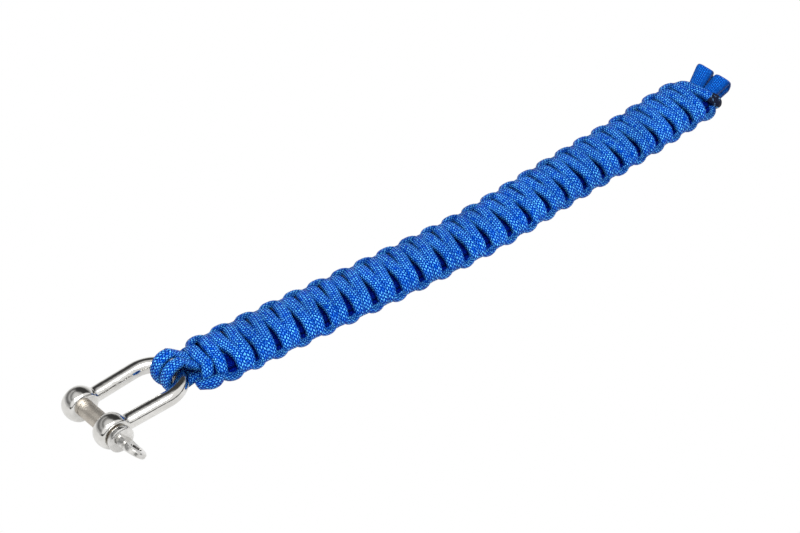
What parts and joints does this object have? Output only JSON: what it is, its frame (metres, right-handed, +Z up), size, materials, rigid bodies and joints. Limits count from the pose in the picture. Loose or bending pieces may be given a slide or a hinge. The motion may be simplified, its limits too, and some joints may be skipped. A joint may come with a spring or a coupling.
{
  "type": "paracord bracelet",
  "caption": "Open flat bracelet of square-knotted cord with a steel screw-pin bow shackle at one end and two cord loops at the other.",
  "frame": {"origin": "on the surface that the bracelet lies on, below the middle of its box", "axes": "+X runs along the band from the shackle to the end loops, +Y across the band, away from the pin's eye, +Z up"},
  "size_m": [0.2622, 0.0358, 0.0108],
  "materials": {
    "blue_cord": "braided nylon sheath, slightly glossy yarns",
    "melted_cord": "melted nylon, dark and lumpy",
    "bow_steel": "polished stainless steel",
    "pin_steel": "turned stainless steel, polished on the collar and eye"
  },
  "bodies": {
    "strap": {"woven_band": "blue_cord", "shackle_loop_far": "blue_cord", "shackle_loop_near": "blue_cord", "end_loop_far": "blue_cord", "end_loop_near": "blue_cord", "cord_end": "melted_cord"},
    "shackle": {"shackle_bow": "bow_steel"},
    "pin": {"shackle_pin": "pin_steel"}
  },
  "joints": [
    {"name": "shackle_swing", "type": "hinge", "parent": "strap", "child": "shackle", "pos_m": [-0.09767, 0.00644, 0.0054], "axis": [-0.0576, 0.9983, 0], "range_deg": [-60, 80]},
    {"name": "pin_withdraw", "type": "slide", "parent": "shackle", "child": "pin", "axis": [0.0576, -0.9983, 0], "range_m": [0, 0.024]}
  ]
}
